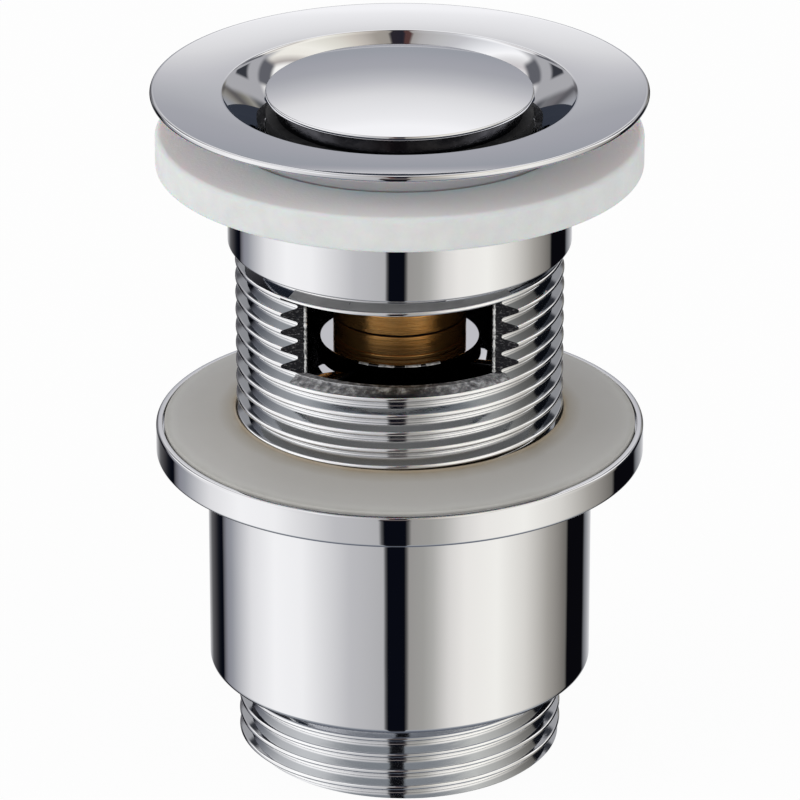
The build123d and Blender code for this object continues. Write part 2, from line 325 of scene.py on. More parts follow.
def map_range(tree, value, low, high, to_low=0.0, to_high=1.0, smooth_step=False):
    node = tree.nodes.new("ShaderNodeMapRange")
    node.interpolation_type = "SMOOTHSTEP" if smooth_step else "LINEAR"
    tree.links.new(value, node.inputs[0])
    for socket, number in zip(node.inputs[1:5], (low, high, to_low, to_high)):
        socket.default_value = number
    return node.outputs[0]


def ramp(tree, factor, stops):
    """Colour ramp through (position, linear colour) stops."""
    node = tree.nodes.new("ShaderNodeValToRGB")
    elements = node.color_ramp.elements
    while len(elements) < len(stops):
        elements.new(0.5)
    for element, (position, colour) in zip(elements, stops):
        element.position = position
        element.color = (*colour, 1)
    tree.links.new(factor, node.inputs[0])
    return node.outputs[0]


def mix_colour(tree, factor, a, b):
    """Mix of two colours, tuples or sockets, by a socket."""
    node = tree.nodes.new("ShaderNodeMix")
    node.data_type = "RGBA"
    tree.links.new(factor, node.inputs[0])
    for socket, value in ((node.inputs[6], a), (node.inputs[7], b)):
        if isinstance(value, tuple):
            socket.default_value = (*value, 1)
        else:
            tree.links.new(value, socket)
    return node.outputs[2]


def noise(tree, place_socket, scale, detail=3.0, roughness=0.55):
    node = tree.nodes.new("ShaderNodeTexNoise")
    node.inputs["Scale"].default_value = scale
    node.inputs["Detail"].default_value = detail
    node.inputs["Roughness"].default_value = roughness
    tree.links.new(place_socket, node.inputs["Vector"])
    return node.outputs[0]


def stretched(tree, place_socket, scale):
    node = tree.nodes.new("ShaderNodeMapping")
    node.inputs["Scale"].default_value = scale
    tree.links.new(place_socket, node.inputs["Vector"])
    return node.outputs[0]


def bump(tree, height, strength, distance, normal=None):
    node = tree.nodes.new("ShaderNodeBump")
    node.inputs["Strength"].default_value = strength
    node.inputs["Distance"].default_value = distance
    tree.links.new(height, node.inputs["Height"])
    if normal is not None:
        tree.links.new(normal, node.inputs["Normal"])
    return node.outputs[0]


def object_place(tree):
    return tree.nodes.new("ShaderNodeTexCoord").outputs["Object"]


def parts_of(tree, vector):
    """X, Y and Z of a vector, as three sockets."""
    split = tree.nodes.new("ShaderNodeSeparateXYZ")
    tree.links.new(vector, split.inputs[0])
    return split.outputs


def radius_of(tree, place_socket):
    """Distance from the axis, in metres."""
    x, y, _ = parts_of(tree, place_socket)
    x2 = math_node(tree, "MULTIPLY", x, x)
    y2 = math_node(tree, "MULTIPLY", y, y)
    return math_node(tree, "SQRT", math_node(tree, "ADD", x2, y2))


def turning_lines_group():
    """Fine rings that a lathe leaves, as a height that changes along the axis and outwards."""
    group = bpy.data.node_groups.new("turning_lines", "ShaderNodeTree")
    number = {"socket_type": "NodeSocketFloat"}
    group.interface.new_socket("Rings per metre", in_out="INPUT", **number).default_value = 5000
    group.interface.new_socket("Height", in_out="OUTPUT", **number)
    given = group.nodes.new("NodeGroupInput")
    put_out = group.nodes.new("NodeGroupOutput")
    place_socket = object_place(group)
    height = parts_of(group, place_socket)[2]
    along = math_node(group, "ADD", radius_of(group, place_socket), height)
    along = math_node(group, "MULTIPLY", along, given.outputs[0])
    line = group.nodes.new("ShaderNodeCombineXYZ")
    group.links.new(along, line.inputs[2])
    rings = noise(group, line.outputs[0], 1.0, detail=4.0, roughness=0.7)
    group.links.new(rings, put_out.inputs[0])
    return group


def smudge_group():
    """Faint handling marks on plated metal, as a value from 0 to 1."""
    group = bpy.data.node_groups.new("handling_marks", "ShaderNodeTree")
    number = {"socket_type": "NodeSocketFloat"}
    group.interface.new_socket("Scale", in_out="INPUT", **number).default_value = 60
    group.interface.new_socket("Value", in_out="OUTPUT", **number)
    given = group.nodes.new("NodeGroupInput")
    put_out = group.nodes.new("NodeGroupOutput")
    node = group.nodes.new("ShaderNodeTexNoise")
    node.inputs["Detail"].default_value = 5.0
    node.inputs["Roughness"].default_value = 0.6
    group.links.new(object_place(group), node.inputs["Vector"])
    group.links.new(given.outputs[0], node.inputs["Scale"])
    value = map_range(group, node.outputs[0], 0.35, 0.7)
    group.links.new(value, put_out.inputs[0])
    return group


def use_group(tree, group, *values):
    node = tree.nodes.new("ShaderNodeGroup")
    node.node_tree = group
    for socket, value in zip(node.inputs, values):
        socket.default_value = value
    return node.outputs[0]


TURNING = turning_lines_group()
SMUDGES = smudge_group()


# Finishes

def plated_chrome():
    """Mirror chrome on polished brass, with a trace of waviness and handling marks."""
    material, tree, shader = new_material("plated_chrome")
    shader.inputs["Base Color"].default_value = (0.86, 0.86, 0.88, 1)
    shader.inputs["Metallic"].default_value = 1.0
    marks = use_group(tree, SMUDGES, 70)
    rough = map_range(tree, marks, 0, 1, 0.012, 0.035)
    tree.links.new(rough, shader.inputs["Roughness"])
    wave = noise(tree, object_place(tree), 90, detail=1.0)
    tree.links.new(bump(tree, wave, 0.03, 0.0006), shader.inputs["Normal"])
    return material


def thread_chrome_painted_light(name, flank):
    """Chrome over a cut thread, with a painted highlight on crests and roots and painted shade on
    the flanks.
    """
    material, tree, shader = new_material(name)
    shader.inputs["Metallic"].default_value = 1.0
    place_socket = object_place(tree)
    depth = map_range(tree, radius_of(tree, place_socket), ROOT * MM, CREST * MM)
    # Painted light: crests and roots are painted brighter than plain chrome as a highlight, and the
    # flanks darker as shade
    painted_highlight = (0.97, 0.97, 0.98)
    tint = ramp(tree, depth, [
        (0.0, painted_highlight), (0.14, painted_highlight), (0.24, flank), (0.83, flank), (0.91, painted_highlight),
        (1.0, painted_highlight)])
    tree.links.new(tint, shader.inputs["Base Color"])
    grain = noise(tree, stretched(tree, place_socket, (1, 1, 6)), 900, detail=3.0)
    tree.links.new(map_range(tree, grain, 0.3, 0.7, 0.035, 0.085), shader.inputs["Roughness"])
    tree.links.new(bump(tree, grain, 0.06, 0.00006), shader.inputs["Normal"])
    return material


def painted_shade_plating():
    """Dull plating painted dark as shade, for the inside of the tube, which the light hardly
    reaches, and other shaded places.
    """
    material, tree, shader = new_material("painted_shade_plating")
    shader.inputs["Metallic"].default_value = 1.0
    grain = noise(tree, object_place(tree), 500, detail=4.0)
    # Painted shade: near-black tints
    tint = ramp(tree, grain, [(0.3, (0.05, 0.05, 0.055)), (0.7, (0.11, 0.11, 0.12))])
    tree.links.new(tint, shader.inputs["Base Color"])
    shader.inputs["Roughness"].default_value = 0.16
    tree.links.new(bump(tree, grain, 0.15, 0.0002), shader.inputs["Normal"])
    return material


def shaded_milled_metal():
    """Rough, torn face that the slot cutter leaves, painted dark as shade, with bright specks."""
    material, tree, shader = new_material("shaded_milled_metal")
    shader.inputs["Metallic"].default_value = 0.9
    place_socket = object_place(tree)
    tears = noise(tree, stretched(tree, place_socket, (1, 1, 2.5)), 1700, detail=3.0, roughness=0.7)
    # Painted shade: near-black tints over most of the face
    tint = ramp(tree, tears, [(0.0, (0.012, 0.012, 0.014)), (0.55, (0.03, 0.03, 0.035)),
                              (0.66, (0.25, 0.25, 0.26)), (0.8, (0.8, 0.8, 0.8))])
    tree.links.new(tint, shader.inputs["Base Color"])
    shader.inputs["Roughness"].default_value = 0.3
    tree.links.new(bump(tree, tears, 0.8, 0.0003), shader.inputs["Normal"])
    return material


def torn_ledge_painted_shade():
    """Lower edge of a slot, torn and grey at its ends, with painted shade and a painted brownish
    reflection of the brass in the middle.
    """
    material, tree, shader = new_material("torn_ledge_painted_shade")
    shader.inputs["Metallic"].default_value = 0.35
    place_socket = object_place(tree)
    tears = noise(tree, place_socket, 1300, detail=4.0, roughness=0.65)
    pale = ramp(tree, tears, [(0.3, (0.08, 0.08, 0.09)), (0.5, (0.28, 0.28, 0.29)),
                              (0.7, (0.75, 0.75, 0.77))])
    # Painted reflection of the brass: brownish dark tones, painted near black past 19.9 mm as shade
    dark = ramp(tree, tears, [(0.3, (0.02, 0.018, 0.015)), (0.5, (0.07, 0.06, 0.05)),
                              (0.7, (0.4, 0.37, 0.34))])
    outer = map_range(tree, radius_of(tree, place_socket), 19.9 * MM, 20.4 * MM)
    dark = mix_colour(tree, outer, dark, (0.012, 0.012, 0.014))
    # Painted shade: the middle, near x 0, takes the dark tones and the ends the pale ones
    aside = math_node(tree, "ABSOLUTE", parts_of(tree, place_socket)[0])
    ends = map_range(tree, aside, 1 * MM, 9 * MM, smooth_step=True)
    tint = mix_colour(tree, ends, dark, pale)
    tree.links.new(tint, shader.inputs["Base Color"])
    shader.inputs["Roughness"].default_value = 0.4
    tree.links.new(bump(tree, tears, 0.6, 0.0004), shader.inputs["Normal"])
    return material


def burr_metal():
    """Bright broken burr along the edges of the slots."""
    material, tree, shader = new_material("burr_metal")
    shader.inputs["Metallic"].default_value = 0.5
    tears = noise(tree, object_place(tree), 1500, detail=2.0)
    tint = ramp(tree, tears, [(0.35, (0.2, 0.2, 0.2)), (0.5, (0.75, 0.75, 0.74)),
                              (0.7, (0.95, 0.95, 0.95))])
    tree.links.new(tint, shader.inputs["Base Color"])
    shader.inputs["Roughness"].default_value = 0.35
    tree.links.new(bump(tree, tears, 0.6, 0.0002), shader.inputs["Normal"])
    return material


def turned_brass():
    """Bare turned brass with fine lathe rings and a little tarnish."""
    material, tree, shader = new_material("turned_brass")
    shader.inputs["Metallic"].default_value = 0.88
    tarnish = noise(tree, object_place(tree), 160, detail=4.0)
    tint = ramp(tree, tarnish, [(0.35, (0.95, 0.43, 0.11)), (0.6, (1.0, 0.53, 0.17))])
    tree.links.new(tint, shader.inputs["Base Color"])
    rings = use_group(tree, TURNING, 9000)
    tree.links.new(map_range(tree, rings, 0.3, 0.7, 0.1, 0.18), shader.inputs["Roughness"])
    tree.links.new(bump(tree, rings, 0.55, 0.0001), shader.inputs["Normal"])
    return material


def closed_cell_foam():
    """White foam with a fine grain of closed cells, and a top face painted lighter."""
    material, tree, shader = new_material("closed_cell_foam")
    place_socket = object_place(tree)
    cells = noise(tree, place_socket, 2600, detail=2.0)
    patches = noise(tree, place_socket, 260, detail=3.0)
    tint = ramp(tree, patches, [(0.3, (0.81, 0.83, 0.83)), (0.7, (0.88, 0.9, 0.89))])
    # Painted light: the top face, which lies in the flange's shadow, is painted lighter than the
    # side
    height = parts_of(tree, place_socket)[2]
    top = map_range(tree, height, (FOAM_TOP - 0.4) * MM, FOAM_TOP * MM)
    tree.links.new(mix_colour(tree, top, tint, (0.97, 0.98, 0.98)), shader.inputs["Base Color"])
    shader.inputs["Subsurface Weight"].default_value = 0.5
    shader.inputs["Subsurface Scale"].default_value = 0.004
    shader.inputs["Roughness"].default_value = 0.85
    shader.inputs["Specular IOR Level"].default_value = 0.25
    fine = bump(tree, cells, 0.35, 0.00012)
    tree.links.new(bump(tree, patches, 0.2, 0.0003, fine), shader.inputs["Normal"])
    return material


def milky_rubber():
    """Smooth grey gasket rubber, lighter towards its rim and stained beside the thread."""
    material, tree, shader = new_material("milky_rubber")
    place_socket = object_place(tree)
    uneven = noise(tree, place_socket, 220, detail=4.0)
    drift = map_range(tree, uneven, 0, 1, -0.6 * MM, 0.6 * MM)
    radius = math_node(tree, "ADD", radius_of(tree, place_socket), drift)
    across = map_range(tree, radius, 21.1 * MM, 30.3 * MM)
    tint = ramp(tree, across, [
        (0.0, (0.38, 0.31, 0.22)), (0.07, (0.46, 0.42, 0.36)), (0.25, (0.56, 0.54, 0.51)),
        (0.8, (0.585, 0.572, 0.55)), (0.9, (0.62, 0.61, 0.585)), (1.0, (0.54, 0.53, 0.5))])
    tree.links.new(tint, shader.inputs["Base Color"])
    tree.links.new(map_range(tree, uneven, 0.3, 0.7, 0.38, 0.52), shader.inputs["Roughness"])
    shader.inputs["Specular IOR Level"].default_value = 0.35
    tree.links.new(bump(tree, uneven, 0.1, 0.0004), shader.inputs["Normal"])
    return material


def plain_finish(name, dark, light, rough, grain_scale, metallic=0.0):
    """Finish of small parts: a tint that drifts a little, with a fine grain."""
    material, tree, shader = new_material(name)
    shader.inputs["Metallic"].default_value = metallic
    grain = noise(tree, object_place(tree), grain_scale, detail=4.0)
    tree.links.new(ramp(tree, grain, [(0.3, dark), (0.7, light)]), shader.inputs["Base Color"])
    uneven = map_range(tree, grain, 0.3, 0.7, rough * 0.8, rough * 1.2)
    tree.links.new(uneven, shader.inputs["Roughness"])
    tree.links.new(bump(tree, grain, 0.2, 0.0001), shader.inputs["Normal"])
    return material


CHROME = plated_chrome()
# Thread chrome with painted highlights and painted shade; the tail's flanks are painted lighter
# than the tube's
THREAD = thread_chrome_painted_light("thread_chrome_painted_light", (0.55, 0.565, 0.585))
TAIL_THREAD = thread_chrome_painted_light("tail_thread_chrome", (0.71, 0.72, 0.735))
PAINTED_SHADE = painted_shade_plating()
MILLED = shaded_milled_metal()
BURR = burr_metal()
LEDGE = torn_ledge_painted_shade()
# Painted shade: dull grey for the thread's upward flanks right under the collar
COLLAR_SHADE = plain_finish("painted_shade_under_collar", (0.36, 0.36, 0.36), (0.46, 0.46, 0.46), 0.34, 300, 0.55)
BRASS = turned_brass()
FOAM = closed_cell_foam()
GASKET = milky_rubber()
BLACK_RUBBER = plain_finish("black_rubber", (0.02, 0.02, 0.022), (0.045, 0.045, 0.047), 0.6, 900)
PLASTIC = plain_finish("natural_acetal", (0.78, 0.78, 0.74), (0.87, 0.87, 0.84), 0.4, 300)
STEEL = plain_finish("spring_steel", (0.5, 0.5, 0.52), (0.66, 0.66, 0.68), 0.22, 600, 1.0)


# Pieces

def waste_tube():
    """Threaded tube of the body with its two milled slots."""
    low, crest_z, clear = 22.0, 61.065, 30
    rod = thread_rod("waste_tube", crest_z, low, TUBE_TOP)
    wall = turn("tube_wall", [
        (TUBE_BORE, low), (20.255, low), (BLANK, low + 1.045), (BLANK, TUBE_TOP),
        (TUBE_BORE, TUBE_TOP)])
    cut(rod, wall, "INTERSECT")
    for side in (-1, 1):
        near, far = sorted((SLOT_FACE * side, clear * side))
        cut(rod, block("slot_cutter", (-clear, near, SLOT_LOW), (clear, far, SLOT_HIGH)))
    dress(rod, THREAD, "waste_body", "chrome")

    def on(value, plane):
        return abs(value - plane) < ON_PLANE

    def thread_slope(r, c, n):
        """Sloping faces of the thread right over or under a slot, between bore and crest."""
        return 18.8 < r < 20.7 and abs(c[1]) > SLOT_FACE and n.z < STRAIGHT

    # Painted shade on the bore
    paint_faces(rod, PAINTED_SHADE, lambda r, c, n: r < TUBE_BORE + ON_PLANE and abs(n.z) < 0.5)
    # Painted shade on the slots' cut sides and their downward top faces
    paint_faces(rod, MILLED, lambda r, c, n: (
        r > 18 and on(abs(c[1]), SLOT_FACE) and abs(n.y) > STRAIGHT))
    paint_faces(rod, MILLED, lambda r, c, n: on(c[2], SLOT_HIGH) and n.z < -STRAIGHT)
    # Ledge with painted shade and a painted brass reflection on the slot's floor and the thread
    # slopes under it
    paint_faces(rod, LEDGE, lambda r, c, n: on(c[2], SLOT_LOW) and n.z > STRAIGHT)
    paint_faces(rod, LEDGE, lambda r, c, n: (
        thread_slope(r, c, n) and 55.9 < c[2] < SLOT_LOW and n.z > 0))
    # Painted shade on the upward thread flanks just under the collar
    paint_faces(rod, COLLAR_SHADE, lambda r, c, n: (
        thread_slope(r, c, n) and c[2] > 67.5 and n.z > 0.4))


def scatter(seed):
    """Fixed scatter from 0 to 1, the same in every run."""
    return sin(12.9898 * seed) * 43758.5453 % 1


def slot_burrs():
    """Torn burr that stands along the upright inner edges of the slots."""
    strips = []
    for across, along in ((-1, -1), (1, -1), (-1, 1), (1, 1)):
        points = [(0.0, SLOT_LOW + 0.02)]
        for k in range(51):
            width = 0.11 + 0.13 * scatter(k + 17 * across + 5 * along)
            points.append((width, SLOT_LOW + 0.05 + 0.2 * k))
        strip = turn("slot_burrs", points + [(0.0, SLOT_HIGH - 0.02)], steps=8)
        strip.location = (11.82 * across * MM, (SLOT_FACE + 0.04) * along * MM, 0)
        place(strip)
        strips.append(strip)
    select_only(strips[0])
    for strip in strips:
        strip.select_set(True)
    bpy.ops.object.join()
    dress(strips[0], BURR, "waste_body", "chrome")


def waste_flange():
    """Relief, collar, dished flange, bowed seat and throat in one turned piece."""
    low, rim_top = TUBE_TOP - OVERLAP, 90.04
    outer = rounded([
        (17.0, 84.68, 0.1), (THROAT, 84.08, 0.1), (THROAT, 82.28, 0.2), (TUBE_BORE, 79.98, 0.2),
        (TUBE_BORE, low), (ROOT, low), (ROOT, 69.4, 0.12), (COLLAR, 69.4, 0.3),
        (COLLAR, 87.6, 0.6), (FLANGE, 89.09, 0.418), (FLANGE, rim_top, 0.418)])
    dish = rounded([(FLANGE, rim_top), (22.38, 89.28, 0.4), (19.96, 87.0)])
    outline = outer + dish[1:-1]
    seat = bowed(outline[-1], outline[0], 0.3)
    piece = turn("waste_flange", outline + seat, steps=256)
    dress(piece, CHROME, "waste_body", "chrome", "waste_body")


def waste_spider():
    """Cast hub with three arms that carries the click cartridge."""
    radius, arm_top = 10.4, 54.75
    hub = turn("waste_spider", rounded([
        (HUB_BORE, HUB_LOW), (radius, HUB_LOW, 0.6), (radius, HUB_TOP, 0.3),
        (HUB_BORE, HUB_TOP)]), steps=96)
    for azimuth in (-17, 103, 223):
        arm = block("arm", (8, -2.5, HUB_LOW), (19.0, 2.5, arm_top))
        bpy.ops.object.modifier_add(type="BEVEL")
        edge = arm.modifiers[-1]
        edge.width = 0.6 * MM
        edge.segments = 3
        bpy.ops.object.modifier_apply(modifier=edge.name)
        arm.rotation_euler[2] = radians(azimuth)
        place(arm)
        cut(hub, arm, "UNION")
    # Painted shade on the hub and arms, with plain chrome on the faces that look up
    dress(hub, PAINTED_SHADE, "waste_body", "chrome")
    paint_faces(hub, CHROME, lambda r, c, n: n.z > 0.97)
    # Painted highlights: bright burr finish on bands of the hub's rounded front edge
    painted_glints = ((-5.0, -3.9), (-2.8, -1.0), (0.8, 2.9), (3.3, 4.9))
    paint_faces(hub, BURR, lambda r, c, n: (
        r > 10 and c[2] > 55.7 and 0.3 < n.z < 0.97
        and any(left < c[0] < right for left, right in painted_glints)))


def sleeve_cup():
    """Cup and flanged rim of the clamp sleeve."""
    piece = turn("sleeve_cup", rounded([
        (TAIL_BORE, CUP_LOW), (24.7, CUP_LOW, 0.8), (24.7, 40.38, 0.35), (31.3, 40.38, 0.45),
        (31.3, 44.45, 0.4), (30.45, 44.45, 0.12), (30.45, 42.35), (21.015, 42.35, 0.3),
        (21.015, 14.5), (TAIL_BORE, 14.5, 0.2)]), steps=256)
    dress(piece, CHROME, "clamp_sleeve", "chrome", "clamp_sleeve")


def sleeve_tail():
    """Threaded tail below the cup, with a relief groove above its thread."""
    crest_z, top = 4.638, 10.0
    rod = thread_rod("sleeve_tail", crest_z, 0.0, top)
    wall = turn("tail_wall", [
        (TAIL_BORE, 0), (20.355, 0), (BLANK, 0.945), (BLANK, 9.5), (20.3, top),
        (TAIL_BORE, top)])
    cut(rod, wall, "INTERSECT")
    dress(rod, TAIL_THREAD, "clamp_sleeve", "chrome")
    low, high = top - OVERLAP, CUP_LOW + 0.1
    relief = turn("tail_relief", [(TAIL_BORE, low), (ROOT, low), (ROOT, high), (TAIL_BORE, high)])
    dress(relief, CHROME, "clamp_sleeve", "chrome")


def gasket():
    """Crowned gasket in the sleeve's rim, with a small lip at its bore."""
    bore, low = 21.0, 42.85
    shoulder, inner = (27.05, 45.3), (21.4, 46.17)
    corners = rounded([(bore, low), (30.25, low, 0.1), (30.25, 44.72, 0.35), shoulder])
    crown = bowed(shoulder, inner, -0.03, steps=8)
    lip = [inner, (21.27, 46.24), (21.2, 46.36), (21.12, 46.43), (21.04, 46.42), (bore, 46.33)]
    piece = turn("crowned_gasket", corners + crown + lip)
    dress(piece, GASKET, "gasket", "gasket_rubber", "clamp_gasket")


def foam_washer():
    """Foam washer on the collar."""
    bore, edge, low = 22.0, 30.86, 79.7
    piece = turn("foam_ring", rounded([
        (bore, low, 0.15), (edge, low, 0.4), (edge, FOAM_TOP, 0.7), (bore, FOAM_TOP, 0.15)]))
    dress(piece, FOAM, "foam_washer", "foam", "basin_seal")


def plug():
    """Domed plug with a thin lip, and its skirt and boss below."""
    rim, rise, radius, lip = 89.43, 1.8, 16.95, 0.6
    ball = (radius ** 2 + rise ** 2) / (2 * rise)
    dome = []
    for k in range(1, 24):
        r = radius * k / 24
        dome.append((r, rim + rise - ball + (ball ** 2 - r ** 2) ** 0.5))
    side = rounded([
        dome[-1], (radius, rim, 0.26), (radius, rim - lip, 0.26),
        (15.6, rim - lip, 0.1), (15.6, 86.48, 0.2), (14.3, 86.48), (14.3, 88.0), (6.2, 89.03),
        (6.2, 84.68, 0.2), (3.96, 84.68), (3.96, 86.48), (0.0, 86.48)])
    piece = turn("domed_plug", side + [(0.0, rim + rise)] + dome[:-1], steps=256)
    dress(piece, CHROME, "plug", "chrome", "plug_cap")
    # Painted shade on the skirt and boss under the lip
    paint_faces(piece, PAINTED_SHADE, lambda r, c, n: r < 16.5 and c[2] < rim - lip + 0.03)


def cartridge_barrel():
    """Brass tube of the click cartridge, with a groove for the clip."""
    bore, groove, top = 6.9, 7.4, 79.6
    piece = turn("cartridge_barrel", rounded([
        (bore, BARREL_LOW), (CARTRIDGE, BARREL_LOW, 0.3), (CARTRIDGE, top, 0.35), (bore, top),
        (bore, 79.1), (groove, 79.1), (groove, 78.3), (bore, 78.3)]), steps=128)
    dress(piece, BRASS, "waste_body", "brass", "barrel")
    # Painted shade in the joint at the barrel's foot
    paint_faces(piece, PAINTED_SHADE, lambda r, c, n: (
        r > 8.1 and c[2] < BARREL_LOW + 0.3 and n.z < -0.1))


def cartridge_base():
    """Brass base of the cartridge, with its stud through the hub."""
    piece = turn("cartridge_base", rounded([
        (0, 47.0), (4.0, 47.0, 0.35), (4.0, WASHER_TOP), (CARTRIDGE, WASHER_TOP, 0.15),
        (CARTRIDGE, BARREL_LOW, 0.12), (6.84, BARREL_LOW), (6.84, 61.5, 0.2), (2.9, 61.5),
        (2.9, 60.1), (0, 60.1)]), steps=128)
    dress(piece, BRASS, "waste_body", "brass", "barrel_base")


def hub_washer():
    """Thin washer under the cartridge."""
    piece = turn("cartridge_washer", rounded([
        (HUB_BORE, HUB_TOP), (CARTRIDGE, HUB_TOP, 0.15), (CARTRIDGE, WASHER_TOP, 0.15),
        (HUB_BORE, WASHER_TOP)]), steps=128)
    dress(piece, BRASS, "waste_body", "brass", "hub_washer")


def smooth_copy(node, body, material, slot):
    """Merged, smooth-shaded copy of a CAD node whose shape is right."""
    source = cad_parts[node]
    piece = bpy.data.objects.new(node + "_smooth", source.data.copy())
    bpy.context.scene.collection.objects.link(piece)
    select_only(piece)
    bpy.ops.object.mode_set(mode="EDIT")
    bpy.ops.mesh.select_all(action="SELECT")
    bpy.ops.mesh.remove_doubles(threshold=SAME_POINT)
    bpy.ops.object.mode_set(mode="OBJECT")
    dress(piece, material, body, slot, node)


def return_spring():
    """Finish of the spring, which stays the CAD node itself, because it stretches."""
    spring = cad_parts["return_spring"]
    spring.data.materials.clear()
    spring.data.materials.append(STEEL)


waste_tube()
slot_burrs()
waste_flange()
waste_spider()
sleeve_cup()
sleeve_tail()
gasket()
foam_washer()
plug()
cartridge_barrel()
cartridge_base()
hub_washer()

for node, body, material, slot in (
        ("slip_ring", "clamp_sleeve", PLASTIC, "plastic"),
        ("hub_nut", "waste_body", BRASS, "brass"),
        ("gland", "waste_body", PLASTIC, "plastic"),
        ("gland_ring", "waste_body", BLACK_RUBBER, "black_rubber"),
        ("retaining_clip", "waste_body", STEEL, "steel"),
        ("index_sleeve", "index_sleeve", PLASTIC, "plastic"),
        ("plunger", "plug", BRASS, "brass"),
        ("index_balls", "plug", STEEL, "steel"),
        ("plug_seal", "plug", BLACK_RUBBER, "black_rubber"),
        ("seal_plate", "plug", BRASS, "brass"),
        ("plug_nut", "plug", BRASS, "brass")):
    smooth_copy(node, body, material, slot)

return_spring()


# Studio

WHITE = (1, 1, 1)

# Light that the plating sends back, world strength on dull surfaces, and the share of the
# floor that the camera sees as plain white
PLATE = 0.86
EVEN_LIGHT = 0.58
FLOOR_GLOW = 0.96

# Camera of the photograph: picture width and shift in pixels, elevation in degrees, lens and
# sensor in millimetres, place in metres
PICTURE = 800
SHIFT = (0.3, 1.8)
CAMERA_ELEVATION = 23.352
CAMERA_LENS = 276.5
CAMERA_SENSOR = 36
CAMERA_PLACE = (0, -0.72425, 0.3594)

# Point that the lamps face
LAMP_AIM = (0, 0, 0.05)


def seen(*values):
    """World colour that chrome shows as this screen colour."""
    return tuple(value / PLATE for value in srgb(*values))


def at_azimuth(stops):
    """Ramp stops from azimuths in degrees and screen colours."""
    return [((azimuth + 180) / 360, seen(*colour)) for azimuth, colour in stops]


def at_elevation(stops):
    """Ramp stops from elevations in degrees and screen colours."""
    return [((elevation + 90) / 180, seen(*colour)) for elevation, colour in stops]


def at_side(stops):
    """Ramp stops from places between far right, -1, and far left, 1, and screen colours."""
    return [((side + 1) / 2, seen(*colour)) for side, colour in stops]


def cards_all_round(tree, around):
    """What stands round the object at its own level."""
    return ramp(tree, around, at_azimuth([
        (-180, (229, 229, 231)), (-157, (90, 90, 92)), (-148, (58, 57, 60)),
        (-142.5, (24, 26, 32)), (-138.5, (8, 10, 18)), (-135, (6, 8, 18)),
        (-132.5, (94, 94, 100)), (-128, (131, 132, 140)), (-122, (146, 148, 154)),
        (-101, (220, 220, 221)), (-81, (241, 241, 241)), (-61, (237, 237, 237)),
        (-40, (205, 205, 206)), (-30, (186, 186, 188)), (-9.2, (172, 172, 173)),
        (-8.2, (8, 10, 18)), (3.9, (8, 10, 18)), (4.9, (148, 146, 143)), (14, (155, 154, 150)),
        (20, (171, 170, 166)), (30, (213, 211, 207)), (40, (231, 229, 224)),
        (61, (238, 237, 231)), (81, (212, 210, 204)), (101, (159, 156, 150)),
        (117, (116, 113, 108)), (120.3, (104, 102, 98)), (121.7, (8, 8, 12)), (146, (8, 8, 12)),
        (150, (110, 112, 116)), (180, (229, 229, 231))]))


def back_wall(tree, upright):
    """Wall behind the object, from its foot upwards."""
    return ramp(tree, upright, at_elevation([
        (-30, (210, 210, 212)), (-14, (190, 191, 194)), (-8, (146, 149, 156)),
        (3, (148, 151, 158)), (10, (156, 157, 164)), (15, (161, 162, 168)),
        (17.5, (168, 169, 174)), (20.4, (178, 179, 183)), (23, (188, 188, 192)),
        (26, (202, 202, 204)), (29, (215, 215, 216)), (32, (222, 222, 223)),
        (38, (233, 233, 234)), (41, (242, 242, 243))]))


def foot_of_back_wall(tree, around):
    """What stands along the foot of the back wall."""
    return ramp(tree, around, at_azimuth([
        (-175, (150, 150, 152)), (-166, (140, 139, 140)), (-160, (80, 80, 84)),
        (-156, (106, 104, 108)), (-149, (112, 113, 116)), (-144, (72, 74, 80)),
        (-140, (95, 92, 96)), (-130, (95, 92, 96)), (130, (70, 72, 76)), (140, (66, 68, 72)),
        (146, (86, 88, 90)), (150.5, (142, 140, 134)), (153, (124, 122, 114)),
        (158, (84, 82, 84)), (163, (128, 124, 112)), (167, (108, 104, 98)),
        (175, (140, 136, 130))]))


def cards_overhead(tree, leftwards):
    """Cards and gaps over the object, from right to left."""
    return ramp(tree, leftwards, at_side([
        (-1, (236, 236, 237)), (-0.7, (244, 243, 240)), (-0.6, (245, 244, 240)),
        (-0.56, (170, 164, 160)), (-0.5, (234, 231, 222)), (-0.43, (237, 235, 226)),
        (-0.36, (224, 222, 212)), (-0.3, (215, 212, 202)), (-0.24, (202, 196, 186)),
        (-0.18, (184, 178, 170)), (-0.12, (158, 152, 144)), (-0.055, (152, 147, 140)),
        (-0.043, (42, 38, 44)), (0.022, (36, 35, 44)), (0.03, (80, 56, 55)),
        (0.058, (84, 60, 58)), (0.07, (158, 155, 152)), (0.12, (174, 172, 172)),
        (0.2, (184, 184, 184)), (0.3, (194, 194, 197)), (0.36, (211, 212, 214)),
        (0.42, (228, 229, 231)), (0.49, (246, 246, 246)), (0.55, (217, 216, 216)),
        (0.6, (200, 196, 197)), (0.68, (250, 250, 249)), (1, (238, 238, 238))]))


def table_below(tree, upright):
    """Table that metal sees under itself."""
    return ramp(tree, upright, at_elevation([
        (-90, (80, 84, 94)), (-66, (100, 105, 115)), (-50, (142, 146, 152)),
        (-38, (160, 164, 168))]))


